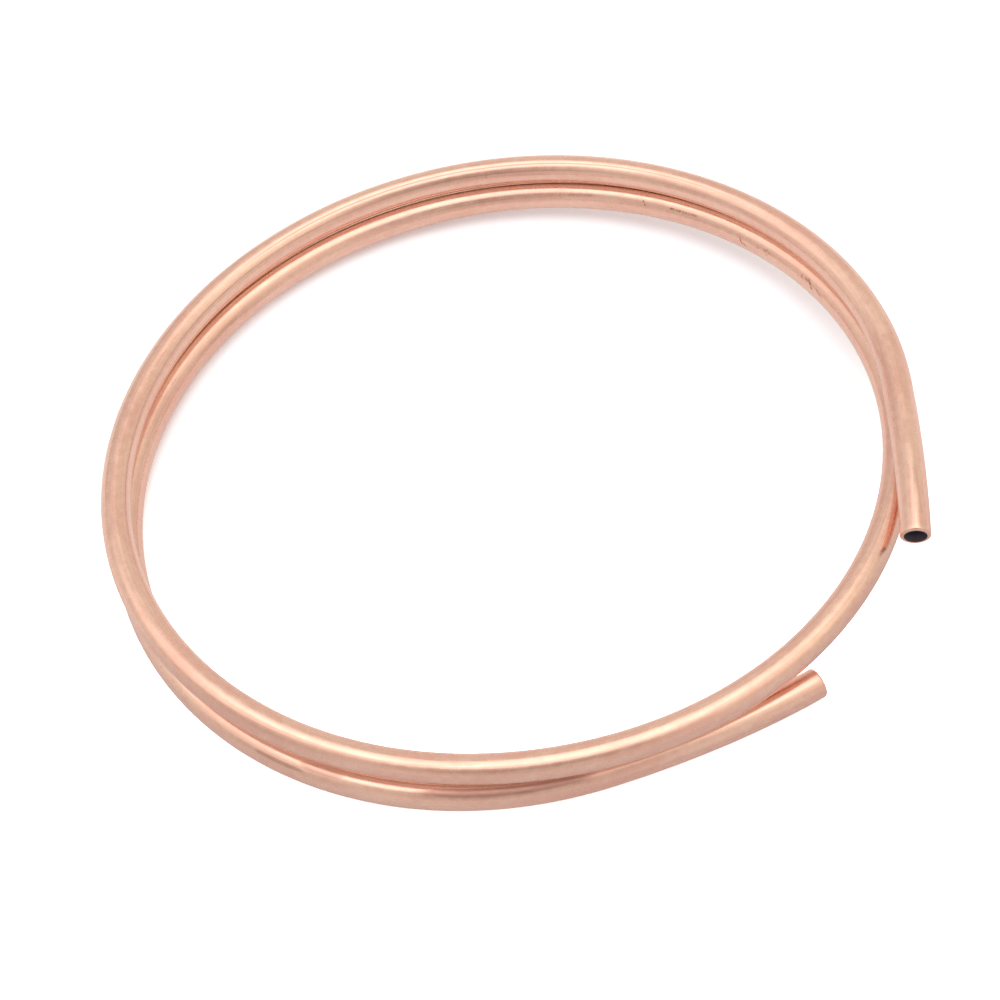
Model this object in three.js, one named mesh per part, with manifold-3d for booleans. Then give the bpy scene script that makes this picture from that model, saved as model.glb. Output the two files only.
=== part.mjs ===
// Soft copper tube, hand wound into an open coil of just under two turns.
// Millimetres, +Z up, lying on a level floor as it is stored.
import * as THREE from 'three';
import Module from 'manifold-3d';
import { mergeVertices } from 'three/addons/utils/BufferGeometryUtils.js';

// Tube section
const tubeOutside = 6.35;
const tubeWall = 0.8;
const lipRadius = 0.45;
const outsideSides = 22;
const boreSides = 14;

// Coil seen from above: it runs clockwise from the low end, angles in degrees
const coilRadius = 81.68;
const startAngle = -49.8;
const totalTurn = 697.9;
const ovalSize = 2.54;
const ovalLongAxis = -61.9;

// Straighter ends: how far each springs outward, and over how much of the turn
const lowTailSpring = 6.1;
const lowTailTurn = 32.5;
const highTailSpring = 8;
const highTailTurn = 26;

// The high end's tip sags a little once it has sprung clear of the turn below
const tipSag = 1.3;
const tipTurn = 14;

// Height: the first turn lies flat, then climbs on to the top of its own start
const liftStart = 175;
const turnGap = 0.2;

// Hand winding: slow in-and-out wander of the bend, which also sets each turn beside the other
const wander = [
  { perTurn: 0.5, size: 0.98, phase: -59.5 },
  { perTurn: 1.5, size: 0.92, phase: 124.2 },
  { perTurn: 2.5, size: 0.41, phase: -174 },
  { perTurn: 3, size: 0.25, phase: -113.7 },
  { perTurn: 3.5, size: 0.17, phase: -157.6 },
  { perTurn: 4, size: 0.08, phase: 82 },
];

const stepsAlong = 150;
const fullTurn = 360;
const tubeRadius = tubeOutside / 2;
const boreRadius = tubeRadius - tubeWall;
const turnPitch = tubeOutside + turnGap;
const toRadians = THREE.MathUtils.degToRad;

// Bend radius at a turn angle, without the straighter ends
function bendRadius(turn) {
  let radius = coilRadius + ovalSize * Math.cos(toRadians(2 * (turn - ovalLongAxis)));
  for (const wave of wander) {
    radius += wave.size * Math.cos(toRadians(wave.perTurn * turn - wave.phase));
  }
  return radius;
}

// Bend of a free end: full at the cut, fading as a square
function endBend(distance, reach, size) {
  return size * Math.max(0, 1 - distance / reach) ** 2;
}

// How far an upper turn's centre stands above the turn it lies on
function stackHeight(turn) {
  const shift = bendRadius(turn + fullTurn) - bendRadius(turn);
  const seated = Math.min(Math.abs(shift), 0.9 * turnPitch);
  return Math.sqrt(turnPitch ** 2 - seated ** 2);
}

// Centre height of the first turn: on the floor, then a smooth climb
function firstTurnHeight(turn) {
  const climb = THREE.MathUtils.smoothstep(turn, liftStart, fullTurn);
  return tubeRadius + stackHeight(0) * climb;
}

function centreHeight(turn) {
  if (turn < fullTurn) return firstTurnHeight(turn);
  const stacked = firstTurnHeight(turn - fullTurn) + stackHeight(turn - fullTurn);
  return stacked - endBend(totalTurn - turn, tipTurn, tipSag);
}

class CoilRoute extends THREE.Curve {
  getPoint(along, target = new THREE.Vector3()) {
    const turn = along * totalTurn;
    const radius = bendRadius(turn)
      + endBend(turn, lowTailTurn, lowTailSpring)
      + endBend(totalTurn - turn, highTailTurn, highTailSpring);
    const angle = toRadians(startAngle - turn);
    return target.set(radius * Math.cos(angle), radius * Math.sin(angle), centreHeight(turn));
  }
}

function circlePoints(radius, sides) {
  const points = [];
  for (let i = 0; i < sides; i += 1) {
    const angle = (i / sides) * 2 * Math.PI;
    points.push(new THREE.Vector2(radius * Math.cos(angle), radius * Math.sin(angle)));
  }
  return points;
}

// Hollow section swept along the route
function tubeGeometry(route) {
  const section = new THREE.Shape(circlePoints(tubeRadius, outsideSides));
  section.holes.push(new THREE.Path(circlePoints(boreRadius, boreSides)));
  return new THREE.ExtrudeGeometry(section, {
    steps: stepsAlong,
    extrudePath: route,
    bevelEnabled: false,
  });
}

// Ring that rounds the outer edge of a cut end: its inner face is a quarter circle
function lipCutter(end, outward) {
  const outer = tubeRadius + 1;
  const inner = tubeRadius - lipRadius;
  const arcSteps = 4;
  const profile = [
    new THREE.Vector2(outer, -lipRadius),
    new THREE.Vector2(outer, 1),
    new THREE.Vector2(inner, 1),
  ];
  for (let i = 0; i <= arcSteps; i += 1) {
    const angle = ((arcSteps - i) / arcSteps) * (Math.PI / 2);
    profile.push(new THREE.Vector2(
      inner + lipRadius * Math.cos(angle),
      lipRadius * (Math.sin(angle) - 1),
    ));
  }
  profile.push(profile[0].clone());
  const ring = new THREE.LatheGeometry(profile, outsideSides * 2);
  const turnTo = new THREE.Quaternion().setFromUnitVectors(new THREE.Vector3(0, 1, 0), outward);
  return ring.applyQuaternion(turnTo).translate(end.x, end.y, end.z);
}

const wasm = await Module();
wasm.setup();

function toSolid(geometry) {
  const bare = geometry.clone();
  bare.deleteAttribute('normal');
  bare.deleteAttribute('uv');
  const joined = mergeVertices(bare, 1e-4);
  return new wasm.Manifold(new wasm.Mesh({
    numProp: 3,
    vertProperties: new Float32Array(joined.attributes.position.array),
    triVerts: new Uint32Array(joined.index.array),
  }));
}

function toGeometry(solid) {
  const mesh = solid.getMesh();
  const geometry = new THREE.BufferGeometry();
  geometry.setAttribute('position', new THREE.BufferAttribute(mesh.vertProperties, 3));
  geometry.setIndex(new THREE.BufferAttribute(mesh.triVerts, 1));
  geometry.computeVertexNormals();
  return geometry;
}

const route = new CoilRoute();
route.arcLengthDivisions = 1500;

let tubeSolid = toSolid(tubeGeometry(route));
for (const along of [0, 1]) {
  const outward = route.getTangentAt(along).multiplyScalar(along === 0 ? -1 : 1);
  tubeSolid = tubeSolid.subtract(toSolid(lipCutter(route.getPointAt(along), outward)));
}

const tube = new THREE.Mesh(
  toGeometry(tubeSolid),
  new THREE.MeshStandardMaterial({ color: 0xdfa588, roughness: 0.28, metalness: 1 }),
);
tube.name = 'copper_tube';

// Bottom centre of the coil's box is the origin
const box = new THREE.Box3().setFromBufferAttribute(tube.geometry.getAttribute('position'));
const centre = box.getCenter(new THREE.Vector3());
tube.geometry.translate(-centre.x, -centre.y, -box.min.z);

const coil = new THREE.Group();
coil.name = 'copper_tube_coil';
coil.add(tube);

export default coil;
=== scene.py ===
import math

import bpy
import numpy as np
from mathutils import Matrix, Vector


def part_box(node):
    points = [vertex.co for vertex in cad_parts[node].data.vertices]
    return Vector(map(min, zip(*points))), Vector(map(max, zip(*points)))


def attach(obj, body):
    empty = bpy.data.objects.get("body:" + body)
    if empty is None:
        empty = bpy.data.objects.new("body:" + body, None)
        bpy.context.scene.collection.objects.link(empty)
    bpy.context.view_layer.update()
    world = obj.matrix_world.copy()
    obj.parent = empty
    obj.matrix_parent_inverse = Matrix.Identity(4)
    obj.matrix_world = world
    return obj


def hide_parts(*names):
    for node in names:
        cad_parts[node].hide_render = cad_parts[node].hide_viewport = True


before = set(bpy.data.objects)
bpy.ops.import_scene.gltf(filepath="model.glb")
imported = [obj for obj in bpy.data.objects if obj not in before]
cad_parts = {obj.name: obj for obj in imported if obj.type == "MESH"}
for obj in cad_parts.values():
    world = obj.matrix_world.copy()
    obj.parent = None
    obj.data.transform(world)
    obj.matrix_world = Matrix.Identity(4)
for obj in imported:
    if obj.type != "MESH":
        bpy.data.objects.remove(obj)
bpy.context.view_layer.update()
lowCorner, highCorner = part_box("copper_tube")

# Tube and route in metres and degrees; the route runs clockwise from the low end.
# A tail or sag is (size, reach along the turn); a wander wave is (waves per turn, size, phase)
tube = {
    "outside": 0.00635,
    "wall": 0.0008,
    "lip": 0.00045,
    "coilRadius": 0.08168,
    "startAngle": -49.8,
    "totalTurn": 697.9,
    "ovalSize": 0.00254,
    "ovalLongAxis": -61.9,
    "lowTail": (0.0061, 32.5),
    "highTail": (0.008, 26.0),
    "tipSag": (0.0013, 14.0),
    "liftStart": 175.0,
    "turnGap": 0.0002,
    "steepestStack": 0.9,
    "wander": (
        (0.5, 0.00098, -59.5),
        (1.5, 0.00092, 124.2),
        (2.5, 0.00041, -174.0),
        (3.0, 0.00025, -113.7),
        (3.5, 0.00017, -157.6),
        (4.0, 0.00008, 82.0),
    ),
    "around": 56,
    "outerSteps": 900,
    "boreSteps": 260,
    "lipSteps": 6,
    "routeSteps": 12000,
}


def unit(vectors):
    # each vector divided by its own length
    return vectors / np.linalg.norm(vectors, axis=1)[:, None]


def bendRadius(turn):
    # coil radius plus an oval, two waves round the ring, plus the slow waves of hand winding
    radius = tube["coilRadius"] + tube["ovalSize"] * np.cos(np.radians(2 * (turn - tube["ovalLongAxis"])))
    for perTurn, size, phase in tube["wander"]:
        radius = radius + size * np.cos(np.radians(perTurn * turn - phase))
    return radius


def endBend(distance, bend):
    # size times (1 - distance / reach) squared, nothing past the reach
    return bend[0] * np.clip(1 - distance / bend[1], 0, None) ** 2


def stackHeight(turn):
    # height of one turn over the next = root of pitch squared less sideways shift squared
    pitch = tube["outside"] + tube["turnGap"]
    shift = np.clip(np.abs(bendRadius(turn + 360) - bendRadius(turn)), 0, tube["steepestStack"] * pitch)
    return np.sqrt(pitch ** 2 - shift ** 2)


def firstTurnHeight(turn):
    # on the floor at first, then a climb of 3 x squared less 2 x cubed up to where the second turn starts
    x = np.clip((turn - tube["liftStart"]) / (360 - tube["liftStart"]), 0, 1)
    return tube["outside"] / 2 + stackHeight(0.0) * x * x * (3 - 2 * x)


def routePoints(turn):
    # bend radius and both tails on the angle; the second turn stands its stack height over the first
    radius = (bendRadius(turn)
              + endBend(turn, tube["lowTail"])
              + endBend(tube["totalTurn"] - turn, tube["highTail"]))
    below = np.clip(turn - 360, 0, None)
    height = np.where(turn < 360, firstTurnHeight(turn), firstTurnHeight(below) + stackHeight(below))
    height = height - endBend(tube["totalTurn"] - turn, tube["tipSag"])
    angle = np.radians(tube["startAngle"] - turn)
    return np.stack([radius * np.cos(angle), radius * np.sin(angle), height], 1)


def evenRoute():
    # points at equal spacing along the route, with the tangent and two cross directions at each
    fine = routePoints(np.linspace(0, tube["totalTurn"], tube["routeSteps"] + 1))
    run = np.concatenate([[0], np.cumsum(np.linalg.norm(np.diff(fine, axis=0), axis=1))])
    along = np.linspace(0, run[-1], tube["outerSteps"] + 1)
    points = np.stack([np.interp(along, run, fine[:, k]) for k in range(3)], 1)
    tangent = unit(np.gradient(points, axis=0, edge_order=2))
    side = unit(np.cross(tangent, [0, 0, 1.0]))
    return along, points, tangent, side, np.cross(side, tangent)


def sectionRows(length):
    # closed loop of (station along the tube, radius): outer skin, far lip, bore back to the start, near lip;
    # a lip is a quarter circle between the skin and the cut face
    outer = tube["outside"] / 2
    bore = outer - tube["wall"]
    lip = tube["lip"]
    quarter = np.linspace(0, math.pi / 2, tube["lipSteps"] + 1)
    stretches = (
        (np.linspace(lip, length - lip, tube["outerSteps"] + 1), np.full(tube["outerSteps"] + 1, outer)),
        (length - lip + lip * np.sin(quarter[1:]), outer - lip + lip * np.cos(quarter[1:])),
        (np.linspace(length, 0, tube["boreSteps"] + 1), np.full(tube["boreSteps"] + 1, bore)),
        (lip - lip * np.cos(quarter[:-1]), outer - lip + lip * np.sin(quarter[:-1])),
    )
    stations, radii = zip(*stretches)
    return np.concatenate(stations), np.concatenate(radii)


def buildTube():
    # each row is a circle about the route; the straight copy of a place is (run, inward, upward)
    along, points, _, side, over = evenRoute()
    station, radius = sectionRows(along[-1])

    def atStation(values):
        return np.stack([np.interp(station, along, values[:, k]) for k in range(3)], 1)

    rowPoint, rowSide, rowOver = atStation(points), unit(atStation(side)), unit(atStation(over))
    angle = np.linspace(0, 2 * math.pi, tube["around"], endpoint=False)
    inward = radius[:, None] * np.cos(angle)
    upward = radius[:, None] * np.sin(angle)
    grid = (rowPoint[:, None, :]
            + inward[:, :, None] * rowSide[:, None, :]
            + upward[:, :, None] * rowOver[:, None, :])
    straight = np.stack([np.broadcast_to(station[:, None], inward.shape), inward, upward], 2)
    rows, cols = inward.shape
    r = np.arange(rows)[:, None]
    c = np.arange(cols)[None, :]
    rNext, cNext = (r + 1) % rows, (c + 1) % cols
    corners = (r * cols + c, r * cols + cNext, rNext * cols + cNext, rNext * cols + c)
    quads = np.stack(np.broadcast_arrays(*corners), 2)
    return grid.reshape(-1, 3), straight.reshape(-1, 3), quads.reshape(-1, 4)


def gapToNextTurn(places, stations):
    # distance from each place on the tube to the skin of the turn above or below it
    ownStretch = 0.2  # metres of tube to either side that count as the same turn
    farAway = 10.0    # added to the squared distance of that stretch
    blockSize = 4000  # places worked out at a time
    along, points, tangent, _, _ = evenRoute()
    gaps = np.empty(len(places))
    for start in range(0, len(places), blockSize):
        block = slice(start, start + blockSize)
        away = places[block, None, :] - points[None, :, :]
        sameTurn = np.abs(stations[block, None] - along[None, :]) < ownStretch
        squared = (away ** 2).sum(2) + farAway * sameTurn
        nearest = squared.argmin(1)
        rows = np.arange(len(nearest))
        slip = (away[rows, nearest] * tangent[nearest]).sum(1)
        gaps[block] = np.sqrt(np.clip(squared[rows, nearest] - slip ** 2, 0, None)) - tube["outside"] / 2
    return gaps


def meshObject(name, vertices, faces):
    # smooth-shaded mesh with its place in its vertices
    mesh = bpy.data.meshes.new(name)
    mesh.vertices.add(len(vertices))
    mesh.vertices.foreach_set("co", vertices.astype(np.float32).ravel())
    mesh.loops.add(faces.size)
    mesh.loops.foreach_set("vertex_index", faces.astype(np.int32).ravel())
    mesh.polygons.add(len(faces))
    mesh.polygons.foreach_set("loop_start", np.arange(0, faces.size, faces.shape[1], dtype=np.int32))
    mesh.polygons.foreach_set("use_smooth", np.ones(len(faces), bool))
    mesh.update(calc_edges=True)
    mesh.validate()
    obj = bpy.data.objects.new(name, mesh)
    bpy.context.scene.collection.objects.link(obj)
    return obj


vertices, straight, quads = buildTube()
turnGaps = gapToNextTurn(vertices, straight[:, 0])

# the skin is centred on the solid tube and stands on the same floor
cadCentre = (np.array(lowCorner) + np.array(highCorner)) / 2
ownLow, ownHigh = vertices.min(0), vertices.max(0)
shift = cadCentre - (ownLow + ownHigh) / 2
shift[2] = lowCorner[2] - ownLow[2]
vertices = vertices + shift

tubeSkin = meshObject("tube_skin", vertices, quads)
tubeSpace = tubeSkin.data.attributes.new("tubeSpace", "FLOAT_VECTOR", "POINT")
tubeSpace.data.foreach_set("vector", straight.astype(np.float32).ravel())
nextTurn = tubeSkin.data.attributes.new("nextTurn", "FLOAT", "POINT")
nextTurn.data.foreach_set("value", turnGaps.astype(np.float32))
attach(tubeSkin, "root")
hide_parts("copper_tube")
print("tube", len(quads) * 2, "triangles")


def mathNode(tree, operation, *values):
    # the operation on its values, each an output of the tree or a plain number
    node = tree.nodes.new("ShaderNodeMath")
    node.operation = operation
    for socket, value in zip(node.inputs, values):
        if isinstance(value, (int, float)):
            socket.default_value = value
        else:
            tree.links.new(value, socket)
    return node.outputs[0]


def weightedSum(tree, start, *parts):
    # start plus each value times its weight
    total = start
    for value, weight in parts:
        total = mathNode(tree, "MULTIPLY_ADD", value, weight, total)
    return total


def strongest(tree, masks):
    # the greatest of the masks at each place
    total = masks[0]
    for mask in masks[1:]:
        total = mathNode(tree, "MAXIMUM", total, mask)
    return total


def distanceFrom(tree, value, middle):
    # how far the value is from the middle, to either side
    return mathNode(tree, "ABSOLUTE", mathNode(tree, "SUBTRACT", value, middle))


def mapRange(tree, value, low, high, toLow=0.0, toHigh=1.0, smooth=True):
    # toLow at low, toHigh at high and level past them, with a smooth step or a straight line between
    node = tree.nodes.new("ShaderNodeMapRange")
    node.interpolation_type = "SMOOTHSTEP" if smooth else "LINEAR"
    for name, setting in (("From Min", low), ("From Max", high), ("To Min", toLow), ("To Max", toHigh)):
        node.inputs[name].default_value = setting
    tree.links.new(value, node.inputs["Value"])
    return node.outputs["Result"]


def mixColour(tree, factor, first, second):
    # first at factor 0, second at 1
    node = tree.nodes.new("ShaderNodeMix")
    node.data_type = "RGBA"
    for name, value in (("Factor", factor), ("A", first), ("B", second)):
        socket = [s for s in node.inputs if s.name == name and (s.type == "RGBA" or name == "Factor")][0]
        if isinstance(value, tuple):
            socket.default_value = (*value, 1)
        elif isinstance(value, float):
            socket.default_value = value
        else:
            tree.links.new(value, socket)
    return [s for s in node.outputs if s.type == "RGBA"][0]


def stretchedNoise(tree, vector, alongPerMetre, acrossPerMetre, detail, offset):
    # noise over (run along the tube, place in its section), with its own count of cells per metre for each
    scale = tree.nodes.new("ShaderNodeVectorMath")
    scale.operation = "MULTIPLY_ADD"
    tree.links.new(vector, scale.inputs[0])
    scale.inputs[1].default_value = (alongPerMetre, acrossPerMetre, acrossPerMetre)
    scale.inputs[2].default_value = (offset, offset * 0.7, offset * 1.3)  # keeps the noises apart
    noise = tree.nodes.new("ShaderNodeTexNoise")
    noise.inputs["Scale"].default_value = 1.0
    noise.inputs["Detail"].default_value = detail
    noise.inputs["Roughness"].default_value = 0.55
    tree.links.new(scale.outputs[0], noise.inputs["Vector"])
    return noise.outputs["Fac"]


# Drawn and hand-bent soft copper. Colours are linear; runs along the tube are in metres, places round it
# in degrees (0 faces the eye of the coil, 90 is on top)
finish = {
    "copper": (0.955, 0.638, 0.538),
    "rosy": (0.87, 0.52, 0.44),
    "golden": (0.99, 0.72, 0.60),
    "lineShade": (0.52, 0.31, 0.26),
    "scuffShade": (0.42, 0.17, 0.10),
    # painted shade and tarnish: the colour of the darkened patches on the lower turn
    "shadeAndTarnish": (0.44, 0.235, 0.20),
    # painted light: paler colour for the groove between the turns
    "grooveLight": (0.985, 0.81, 0.72),
    # painted shade: the bore gets a near-black colour, and no metal, where it is dark only because little
    # light gets in
    "paintedBoreShade": (0.058, 0.048, 0.082),
    # how far the colour leaves plain copper, and how strong the streaks are
    "variation": 0.65,
    "streaks": 0.34,
    # noises as (cells per metre along, cells per metre across, detail, offset): marks of the drawing die
    # in broad bands, fine lines and hair lines, then patches and bloom of handling, and soft dents
    "grain": {
        "bands": (9.0, 700.0, 2.0, 0.0),
        "lines": (16.0, 1900.0, 2.0, 3.1),
        "hairs": (40.0, 5200.0, 1.0, 7.7),
        "patches": (38.0, 210.0, 3.0, 11.0),
        "bloom": (560.0, 760.0, 2.0, 17.0),
        "dents": (230.0, 260.0, 1.0, 41.0),
        "winding": (5.0, 330.0, 0.0, 23.0),
        "grit": (2600.0, 2600.0, 2.0, 31.0),
    },
    "gritEdge": (0.40, 0.56),
    # shares of each noise in the warmth of the colour, in the streaks and in the relief; a range is where
    # the effect starts and where it is full
    "warmth": {"patches": 0.6, "bloom": 0.4},
    "warmRange": (0.34, 0.66),
    "streak": {"bands": 0.55, "lines": 0.45},
    "streakRange": (0.56, 0.36),
    "relief": {"bands": 1.0, "lines": 0.45, "hairs": 0.10, "bloom": 0.05, "dents": 1.8},
    "reliefDepth": 0.000013,
    # roughness, its swing as (noise from, to, change from, to), and what each kind of wear adds
    "roughness": 0.26,
    "roughSwing": {
        "lines": (0.3, 0.7, -0.05, 0.06),
        "bloom": (0.35, 0.65, -0.02, 0.03),
        "dents": (0.3, 0.7, -0.05, 0.05),
    },
    "scuffRough": 0.3,
    "shadeAndTarnishRough": 0.14,
    "boreRough": 0.6,
    # thin film left by handling, as a weak clear coat
    "film": 0.3,
    "filmRoughness": 0.3,
    # painted light: a paler colour where the turns lie close together, lifting the shade in the groove
    # between them, as (gap from, to, strength)
    "grooveLightRange": (0.0002, 0.0012, 0.85),
    # how far past the wall of the bore its painted shade goes
    "boreEdge": (0.000005, 0.00003),
    # one thin winding line, as (noise off its middle from, to, strength)
    "windingLine": (0.003, 0.012, 0.22),
    # long die lines as (from, to, round, drift in degrees over the line, half width in degrees, strength)
    "dieLines": (
        (0.755, 0.91, 68.0, 0.0, 4.6, 0.8),
        (0.62, 0.88, 36.0, 4.0, 3.0, 0.4),
        (0.18, 0.42, 52.0, -6.0, 2.2, 0.3),
        (0.44, 0.64, 108.0, 5.0, 2.4, 0.18),
        (0.05, 0.30, 118.0, 4.0, 2.2, 0.3),
    ),
    # sway of such a line in degrees, the metres over which it comes and goes, and the share of its half
    # width that is at full strength
    "lineSway": 5.0,
    "lineFade": 0.03,
    "lineCore": 0.3,
    # knocks as (run, round, length, width, lean in degrees from along the tube, strength), metres
    "scuffs": (
        (0.4055, 30.0, 0.0030, 0.00050, -38.0, 0.9),
        (0.4040, 36.0, 0.0015, 0.00050, -10.0, 0.7),
        (0.4085, 27.0, 0.0021, 0.00050, -20.0, 0.6),
        (0.4100, 20.0, 0.0017, 0.00040, -35.0, 0.4),
        (0.4024, 33.0, 0.0011, 0.00040, -60.0, 0.6),
        (0.3911, 33.0, 0.0018, 0.00060, -20.0, 0.65),
        (0.3905, 24.0, 0.0019, 0.00045, -40.0, 0.55),
        (0.3880, 27.0, 0.0012, 0.00050, -10.0, 0.5),
        (0.3832, 16.0, 0.0019, 0.00036, -58.0, 0.95),
        (0.3844, 7.0, 0.0013, 0.00040, -25.0, 0.8),
        (0.3672, 42.8, 0.0075, 0.00050, 1.0, 0.75),
        (0.3640, 43.5, 0.0013, 0.00055, 0.0, 0.85),
        (0.3656, 42.5, 0.0011, 0.00050, 0.0, 0.9),
        (0.3688, 42.0, 0.0013, 0.00045, 0.0, 0.8),
        (0.3700, 42.6, 0.0009, 0.00045, 0.0, 0.7),
        (0.3568, 43.0, 0.0018, 0.00036, -60.0, 0.75),
        (0.3400, 45.0, 0.0095, 0.00042, 1.0, 0.55),
        (0.8325, 36.0, 0.0016, 0.00026, 85.0, 0.5),
    ),
    # where a knock fades out, as shares of its length and of its width
    "scuffEnds": (0.35, 0.55),
    "scuffSides": (0.25, 0.60),
    # darkened patches on the lower turn: painted shade over its highlight where the turn above blocks the
    # light, and one small tarnish spot, as (run, round, half run, half width in degrees, soft share of the
    # edge, strength)
    "patches": (
        (0.0670, 113.0, 0.0180, 18.0, 0.7, 0.8),
        (0.1130, 133.0, 0.0060, 8.0, 0.8, 0.5),
        (0.1040, 106.0, 0.0050, 17.0, 0.8, 0.4),
    ),
    # share of that soft edge which lies past the patch's own size
    "patchRim": 0.3,
}


def dieMarks(tree, grain, run, around):
    # a thin line wherever a slow noise crosses its middle, and long lines that sway about their own place
    low, high, strength = finish["windingLine"]
    marks = [mapRange(tree, distanceFrom(tree, grain["winding"], 0.5), low, high, strength, 0.0)]
    sway = mathNode(tree, "MULTIPLY", mathNode(tree, "SUBTRACT", grain["patches"], 0.5), finish["lineSway"])
    for start, end, place, drift, halfWidth, strength in finish["dieLines"]:
        middle = mapRange(tree, run, start, end, place, place + drift, smooth=False)
        off = distanceFrom(tree, around, mathNode(tree, "ADD", middle, sway))
        across = mapRange(tree, off, halfWidth * finish["lineCore"], halfWidth, strength, 0.0)
        begins = mapRange(tree, run, start, start + finish["lineFade"])
        stops = mapRange(tree, run, end - finish["lineFade"], end, 1.0, 0.0)
        marks.append(mathNode(tree, "MULTIPLY", across, mathNode(tree, "MULTIPLY", begins, stops)))
    return strongest(tree, marks)


def scuffMarks(tree, grain, run, around):
    # short strokes, each fading along and across its own lean, broken up by a coarse grit
    perDegree = math.radians(1) * tube["outside"] / 2
    arc = mathNode(tree, "MULTIPLY", around, perDegree)
    strokes = []
    for place, angle, length, width, lean, strength in finish["scuffs"]:
        cosLean, sinLean = math.cos(math.radians(lean)), math.sin(math.radians(lean))
        ahead = mathNode(tree, "SUBTRACT", run, place)
        aside = mathNode(tree, "SUBTRACT", arc, angle * perDegree)
        along = mathNode(tree, "ABSOLUTE", weightedSum(tree, 0.0, (ahead, cosLean), (aside, sinLean)))
        across = mathNode(tree, "ABSOLUTE", weightedSum(tree, 0.0, (aside, cosLean), (ahead, -sinLean)))
        inLength = mapRange(tree, along, *(length * share for share in finish["scuffEnds"]), strength, 0.0)
        inWidth = mapRange(tree, across, *(width * share for share in finish["scuffSides"]), 1.0, 0.0)
        strokes.append(mathNode(tree, "MULTIPLY", inLength, inWidth))
    grit = mapRange(tree, grain["grit"], *finish["gritEdge"])
    return mathNode(tree, "MULTIPLY", strongest(tree, strokes), grit)


# painted shade over the lower turn's highlight, and one tarnish spot
def shadeAndTarnishMarks(tree, run, around):
    # a patch ends where (run / half run) to the fourth plus (round / half width) squared comes to 1
    stains = []
    for place, angle, halfRun, halfWidth, soft, strength in finish["patches"]:
        u = mathNode(tree, "MULTIPLY", distanceFrom(tree, run, place), 1.0 / halfRun)
        v = mathNode(tree, "MULTIPLY", distanceFrom(tree, around, angle), 1.0 / halfWidth)
        spread = mathNode(tree, "ADD", mathNode(tree, "POWER", u, 4.0), mathNode(tree, "POWER", v, 2.0))
        stains.append(mapRange(tree, spread, 1.0 - soft, 1.0 + soft * finish["patchRim"], strength, 0.0))
    return strongest(tree, stains)


def copperFinish():
    # warm and streaked copper, with die marks, painted light in the groove between the turns, painted shade
    # and tarnish on the lower turn, scuffs and the painted shade of the bore laid over it
    material = bpy.data.materials.new("drawn_copper")
    material.use_nodes = True
    tree = material.node_tree
    shader = tree.nodes["Principled BSDF"]
    own = tree.nodes.new("ShaderNodeAttribute")
    own.attribute_name = "tubeSpace"
    space = own.outputs["Vector"]
    neighbour = tree.nodes.new("ShaderNodeAttribute")
    neighbour.attribute_name = "nextTurn"
    split = tree.nodes.new("ShaderNodeSeparateXYZ")
    tree.links.new(space, split.inputs[0])
    run, inward, upward = split.outputs
    around = mathNode(tree, "DEGREES", mathNode(tree, "ARCTAN2", upward, inward))
    squares = [mathNode(tree, "MULTIPLY", part, part) for part in (inward, upward)]
    reach = mathNode(tree, "SQRT", mathNode(tree, "ADD", *squares))
    grain = {name: stretchedNoise(tree, space, *cells) for name, cells in finish["grain"].items()}

    def blend(shares):
        return [(grain[name], share) for name, share in shares.items()]

    gapFrom, gapTo, grooveLightStrength = finish["grooveLightRange"]
    # painted light: the colour is made paler where the next turn lies close, standing in for light in the
    # groove
    grooveLight = mapRange(tree, neighbour.outputs["Fac"], gapFrom, gapTo, grooveLightStrength, 0.0)
    lined = dieMarks(tree, grain, run, around)
    scuffed = scuffMarks(tree, grain, run, around)
    shadeAndTarnishMask = shadeAndTarnishMarks(tree, run, around)
    bore = tube["outside"] / 2 - tube["wall"]
    # painted shade inside the bore
    inBore = mapRange(tree, reach, *(bore + edge for edge in finish["boreEdge"]), 1.0, 0.0)

    warm = weightedSum(tree, 0.0, *blend(finish["warmth"]))
    colour = mixColour(tree, mapRange(tree, warm, *finish["warmRange"]), finish["rosy"], finish["golden"])
    colour = mixColour(tree, finish["variation"], finish["copper"], colour)
    streak = weightedSum(tree, 0.0, *blend(finish["streak"]))
    streaked = mapRange(tree, streak, *finish["streakRange"], 0.0, finish["streaks"])
    colour = mixColour(tree, streaked, colour, finish["rosy"])
    colour = mixColour(tree, lined, colour, finish["lineShade"])
    # painted light in the groove between the turns
    colour = mixColour(tree, grooveLight, colour, finish["grooveLight"])
    # painted shade over the lower turn's highlight, and tarnish
    colour = mixColour(tree, shadeAndTarnishMask, colour, finish["shadeAndTarnish"])
    colour = mixColour(tree, scuffed, colour, finish["scuffShade"])
    colour = mixColour(tree, inBore, colour, finish["paintedBoreShade"])
    tree.links.new(colour, shader.inputs["Base Color"])

    rough = finish["roughness"]
    for name, swing in finish["roughSwing"].items():
        rough = mathNode(tree, "ADD", mapRange(tree, grain[name], *swing, smooth=False), rough)
    rough = weightedSum(tree, rough, (scuffed, finish["scuffRough"]), (shadeAndTarnishMask, finish["shadeAndTarnishRough"]),
                        (inBore, finish["boreRough"]))
    tree.links.new(rough, shader.inputs["Roughness"])
    # the bore's painted shade is not metal
    tree.links.new(mathNode(tree, "SUBTRACT", 1.0, inBore), shader.inputs["Metallic"])
    shader.inputs["Coat Weight"].default_value = finish["film"]
    shader.inputs["Coat Roughness"].default_value = finish["filmRoughness"]

    height = weightedSum(tree, 0.0, *blend(finish["relief"]))
    bump = tree.nodes.new("ShaderNodeBump")
    bump.inputs["Strength"].default_value = 1.0
    bump.inputs["Distance"].default_value = finish["reliefDepth"]
    tree.links.new(height, bump.inputs["Height"])
    tree.links.new(bump.outputs["Normal"], shader.inputs["Normal"])
    return material


tubeSkin.data.materials.append(copperFinish())
print("copper finish ready")

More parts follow.
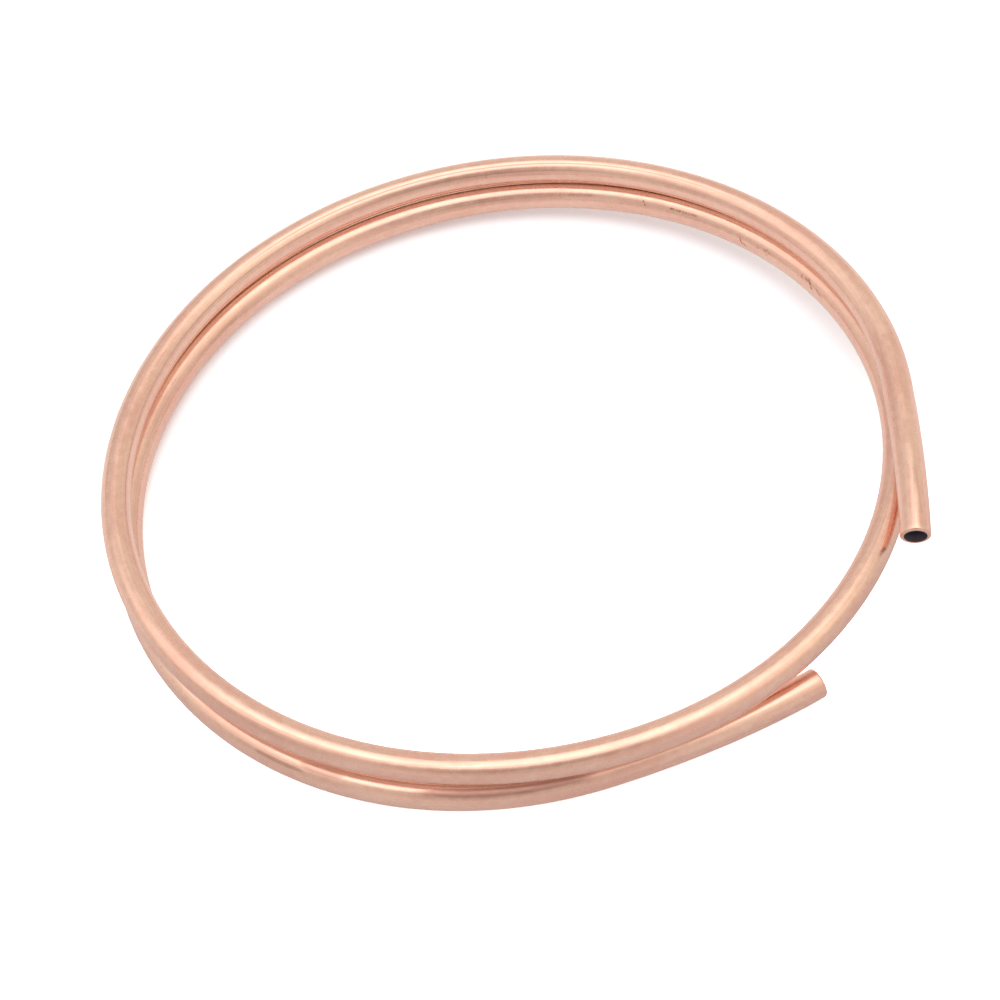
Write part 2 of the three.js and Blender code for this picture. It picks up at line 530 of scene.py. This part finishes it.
# Floor, in metres and linear colours, pale: the camera sees a white sweep, painted brighter at the front
# than at the back, and metal mirrors a painted reflection of it, dimmer and more even than its shading
floorLook = {
    "halfWidth": 3.0,
    "lit": (0.8, 0.8, 0.8),
    # painted reflection: the floor's tone as the metal mirrors it
    "mirrored": (0.45, 0.45, 0.46),
    # painted light: seen by the camera, the floor is far brighter at the front (low Y) than at the back,
    # which washes out the shadows in front of the coil and keeps those behind it
    "paperFront": (3.0, 3.3, 3.7),
    "paperBack": (1.29, 1.45, 1.66),
    "paperFade": (-0.07, 0.03),
    # painted reflection, added for glossy rays only: a glow inside the ring, outside it at the front, and
    # behind it
    "glowInside": (0.43, 0.40, 0.385),
    "glowFront": (0.23, 0.215, 0.22),
    "glowBehind": (0.66, 0.60, 0.53),
    "ringFade": (0.077, 0.087),
    "frontFade": (-0.055, 0.0),
    "behindFade": (0.08, 0.22),
}


def floorFinish():
    # one tone each for light, for reflections and for the camera, told apart by the kind of ray
    material = bpy.data.materials.new("floor_white")
    material.use_nodes = True
    tree = material.node_tree
    shader = tree.nodes["Principled BSDF"]
    shader.inputs["Roughness"].default_value = 1.0
    shader.inputs["Specular IOR Level"].default_value = 0.0
    lightPath = tree.nodes.new("ShaderNodeLightPath")
    mirrored = lightPath.outputs["Is Glossy Ray"]
    place = tree.nodes.new("ShaderNodeSeparateXYZ")
    tree.links.new(tree.nodes.new("ShaderNodeTexCoord").outputs["Object"], place.inputs[0])
    x, y = place.outputs["X"], place.outputs["Y"]

    # painted light: the camera's floor tone rises towards the front
    paperShare = mapRange(tree, y, *floorLook["paperFade"])
    paper = mixColour(tree, paperShare, floorLook["paperFront"], floorLook["paperBack"])
    tone = mixColour(tree, mirrored, floorLook["lit"], floorLook["mirrored"])
    tone = mixColour(tree, lightPath.outputs["Is Camera Ray"], tone, paper)
    tree.links.new(tone, shader.inputs["Base Color"])

    # painted reflection: the floor glows for glossy rays only, more inside the ring and behind it than in
    # front
    squares = [mathNode(tree, "MULTIPLY", part, part) for part in (x, y)]
    radius = mathNode(tree, "SQRT", mathNode(tree, "ADD", *squares))
    outside = mapRange(tree, radius, *floorLook["ringFade"])
    inFront = mapRange(tree, y, *floorLook["frontFade"], 1.0, 0.0)
    behind = mapRange(tree, y, *floorLook["behindFade"])
    frontShare = mathNode(tree, "MULTIPLY", outside, inFront)
    glow = mixColour(tree, frontShare, floorLook["glowInside"], floorLook["glowFront"])
    glow = mixColour(tree, behind, glow, floorLook["glowBehind"])
    glow = mixColour(tree, mirrored, (0.0, 0.0, 0.0), glow)
    tree.links.new(glow, shader.inputs["Emission Color"])
    shader.inputs["Emission Strength"].default_value = 1.0
    return material


floorCorners = np.array([[-1, -1, 0], [1, -1, 0], [1, 1, 0], [-1, 1, 0]]) * floorLook["halfWidth"]
floor = meshObject("floor", floorCorners, np.array([[0, 1, 2, 3]]))
floor.data.materials.append(floorFinish())
print("floor ready")

# Soft surroundings: an even level, and broad patches given as compass (0 = +Y, 90 = +X), height, full and
# fading radius in degrees, and change in red, green and blue
studio = {
    "warmth": (0.975, 0.886, 0.79),
    "level": 0.785,
    "patches": (
        (0, 87, 19, 32, (1.0, 1.0, 1.03)),
        (-84, 53, 8, 32, (0.44, 0.43, 0.42)),
        (108, 52, 8, 28, (0.34, 0.32, 0.25)),
        (-172, 46, 10, 30, (-0.22, -0.25, -0.25)),
        (180, 26, 10, 34, (-0.10, -0.11, -0.12)),
        (-120, 20, 6, 28, (-0.15, -0.14, -0.14)),
        (-34, 14, 5, 24, (-0.12, -0.12, -0.12)),
        (108, 24, 6, 24, (-0.08, -0.10, -0.13)),
        (45, 45, 10, 40, (0.0, -0.01, -0.05)),
    ),
}


def lightStudio():
    # a patch fades with the cosine of the angle between the look and the patch's middle
    world = bpy.data.worlds.new("studio")
    bpy.context.scene.world = world
    world.use_nodes = True
    tree = world.node_tree
    look = tree.nodes.new("ShaderNodeTexCoord").outputs["Generated"]
    total = None
    for compass, height, full, gone, change in studio["patches"]:
        compass, height, full, gone = (math.radians(angle) for angle in (compass, height, full, gone))
        level = math.cos(height)
        middle = (math.sin(compass) * level, math.cos(compass) * level, math.sin(height))
        dot = tree.nodes.new("ShaderNodeVectorMath")
        dot.operation = "DOT_PRODUCT"
        tree.links.new(look, dot.inputs[0])
        dot.inputs[1].default_value = middle
        added = tree.nodes.new("ShaderNodeVectorMath")
        added.operation = "MULTIPLY_ADD"
        tree.links.new(mapRange(tree, dot.outputs["Value"], math.cos(gone), math.cos(full)), added.inputs[0])
        added.inputs[1].default_value = [part * warm for part, warm in zip(change, studio["warmth"])]
        if total is None:
            added.inputs[2].default_value = [studio["level"] * warm for warm in studio["warmth"]]
        else:
            tree.links.new(total, added.inputs[2])
        total = added.outputs[0]
    # the camera itself sees the surroundings as white as the floor
    camera = tree.nodes.new("ShaderNodeLightPath").outputs["Is Camera Ray"]
    total = mixColour(tree, camera, total, (1.0, 1.0, 1.0))
    tree.links.new(total, tree.nodes["Background"].inputs["Color"])


lightStudio()
print("studio lit")

# Camera: aimed at a point on the floor, in metres and degrees; roll in radians, focal length in frame widths
view = {
    "aim": (-0.00257, -0.00697, 0.0),
    "distance": 0.4841,
    "elevation": 53.78,
    "roll": -0.145,
    "focal": 2.23318,
    "frameWidth": 36.0,
    "nearest": 0.01,
}


def placeCamera():
    # the camera looks along +Y and down by its elevation; roll turns it about its own axis
    data = bpy.data.cameras.new("camera")
    data.sensor_width = view["frameWidth"]
    data.lens = view["frameWidth"] * view["focal"]
    data.clip_start = view["nearest"]
    obj = bpy.data.objects.new("camera", data)
    bpy.context.scene.collection.objects.link(obj)
    tilt = math.radians(view["elevation"])
    back = Vector((0, -math.cos(tilt), math.sin(tilt)))
    right = Vector((1, 0, 0))
    up = back.cross(right)
    cosRoll, sinRoll = math.cos(view["roll"]), math.sin(view["roll"])
    turnedRight = right * cosRoll + up * sinRoll
    turnedUp = up * cosRoll - right * sinRoll
    place = Vector(view["aim"]) + Vector((shift[0], shift[1], 0)) + back * view["distance"]
    turned = Matrix((turnedRight, turnedUp, back)).transposed().to_4x4()
    obj.matrix_world = Matrix.Translation(place) @ turned
    bpy.context.scene.camera = obj


placeCamera()
bpy.context.scene.view_settings.view_transform = "Standard"
print("ready")
